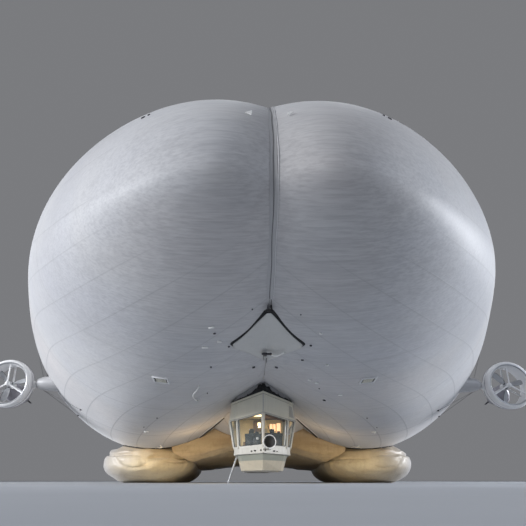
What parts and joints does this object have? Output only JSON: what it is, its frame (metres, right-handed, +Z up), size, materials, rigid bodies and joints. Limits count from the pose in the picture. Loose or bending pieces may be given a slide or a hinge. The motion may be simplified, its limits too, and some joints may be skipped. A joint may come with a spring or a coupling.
{
  "type": "hybrid airship, 1:10 scale model",
  "caption": "Hybrid airship: three-lobed envelope on pneumatic skids, hung flight deck and modules, swivelling ducted propellers at the sides and ducted propellers astern, canted tail fins.",
  "frame": {"origin": "centre of the bounding box's base: floor level, on the centreline, halfway along the length", "axes": "-Y towards the bow, +Y towards the stern, +X to the right as seen from ahead of the bow, +Z up"},
  "size_m": [4.3624, 9.2, 2.6094],
  "materials": {
    "envelope": "satin laminated fabric",
    "skid_fabric": "satin coated fabric",
    "white_composite": "painted composite",
    "cab_panel": "satin paint",
    "duct_white": "painted composite",
    "grey_metal": "satin paint",
    "engine_grey": "satin paint",
    "propeller_grey": "satin",
    "dark_metal": "matte",
    "dark_plastic": "matte",
    "ladder_metal": "satin",
    "fin_skin": "satin laminated fabric",
    "seat": "matte",
    "glass": "clear glazing"
  },
  "bodies": {
    "hull": {"envelope_lobe_left": "envelope", "envelope_lobe_right": "envelope", "envelope_lobe_centre": "envelope", "skid_left": "skid_fabric", "skid_right": "skid_fabric", "belly_apron_left": "skid_fabric", "belly_apron_right": "skid_fabric", "nose_patch": "envelope", "mooring_fitting": "dark_metal", "flight_deck_floor": "cab_panel", "flight_deck_walls": "white_composite", "flight_deck_roof": "white_composite", "flight_deck_collar": "dark_plastic", "windshield_left": "glass", "windshield_right": "glass", "quarter_window_left": "glass", "quarter_window_right": "glass", "side_window_left": "glass", "side_window_right": "glass", "payload_module": "cab_panel", "aft_module": "cab_panel", "pilot_seat_left": "seat", "pilot_seat_right": "seat", "console": "dark_plastic", "boarding_ladder": "ladder_metal", "forward_mount_left": "grey_metal", "forward_mount_right": "grey_metal", "rear_duct_left": "duct_white", "rear_duct_right": "duct_white", "rear_engine_left": "duct_white", "rear_engine_right": "duct_white", "upper_fin_left": "fin_skin", "upper_fin_right": "fin_skin", "lower_fin_left": "fin_skin", "lower_fin_right": "fin_skin"},
    "flight_deck_door": {"flight_deck_door": "white_composite"},
    "forward_unit_left": {"forward_duct_left": "duct_white", "forward_engine_left": "engine_grey"},
    "forward_unit_right": {"forward_duct_right": "duct_white", "forward_engine_right": "engine_grey"},
    "forward_propeller_left": {"forward_propeller_left": "propeller_grey"},
    "forward_propeller_right": {"forward_propeller_right": "propeller_grey"},
    "rear_propeller_left": {"rear_propeller_left": "propeller_grey"},
    "rear_propeller_right": {"rear_propeller_right": "propeller_grey"},
    "upper_rudder_left": {"upper_rudder_left": "fin_skin"},
    "upper_rudder_right": {"upper_rudder_right": "fin_skin"},
    "lower_rudder_left": {"lower_rudder_left": "fin_skin"},
    "lower_rudder_right": {"lower_rudder_right": "fin_skin"}
  },
  "joints": [
    {"name": "forward_swivel_left", "type": "hinge", "parent": "hull", "child": "forward_unit_left", "pos_m": [-1.71, -1.84, 0.69], "axis": [1, 0, 0], "range_deg": [-20, 20]},
    {"name": "forward_swivel_right", "type": "hinge", "parent": "hull", "child": "forward_unit_right", "pos_m": [1.71, -1.84, 0.69], "axis": [1, 0, 0], "range_deg": [-20, 20]},
    {"name": "forward_spin_left", "type": "hinge", "parent": "forward_unit_left", "child": "forward_propeller_left", "pos_m": [-1.895, -1.85, 0.69], "axis": [0, 1, 0], "continuous": true},
    {"name": "forward_spin_right", "type": "hinge", "parent": "forward_unit_right", "child": "forward_propeller_right", "pos_m": [1.895, -1.85, 0.69], "axis": [0, 1, 0], "continuous": true},
    {"name": "rear_spin_left", "type": "hinge", "parent": "hull", "child": "rear_propeller_left", "pos_m": [-0.693, 4.5175, 1.3], "axis": [0, 1, 0], "continuous": true},
    {"name": "rear_spin_right", "type": "hinge", "parent": "hull", "child": "rear_propeller_right", "pos_m": [0.693, 4.5175, 1.3], "axis": [0, 1, 0], "continuous": true},
    {"name": "upper_rudder_hinge_left", "type": "hinge", "parent": "hull", "child": "upper_rudder_left", "pos_m": [-1.22201, 3.57216, 1.79347], "axis": [-0.6214, 0.1245, 0.7735], "range_deg": [-25, 25]},
    {"name": "upper_rudder_hinge_right", "type": "hinge", "parent": "hull", "child": "upper_rudder_right", "pos_m": [1.22201, 3.57216, 1.79347], "axis": [0.6214, 0.1245, 0.7735], "range_deg": [-25, 25]},
    {"name": "lower_rudder_hinge_left", "type": "hinge", "parent": "hull", "child": "lower_rudder_left", "pos_m": [-1.38124, 3.57762, 1.10214], "axis": [-0.9007, 0.1411, -0.4109], "range_deg": [-25, 25]},
    {"name": "lower_rudder_hinge_right", "type": "hinge", "parent": "hull", "child": "lower_rudder_right", "pos_m": [1.38124, 3.57762, 1.10214], "axis": [0.9007, 0.1411, -0.4109], "range_deg": [-25, 25]},
    {"name": "flight_deck_door_hinge", "type": "hinge", "parent": "hull", "child": "flight_deck_door", "pos_m": [-0.1672, -2.456, 0.197], "axis": [0.1973, 0, -0.9803], "range_deg": [0, 95]}
  ]
}
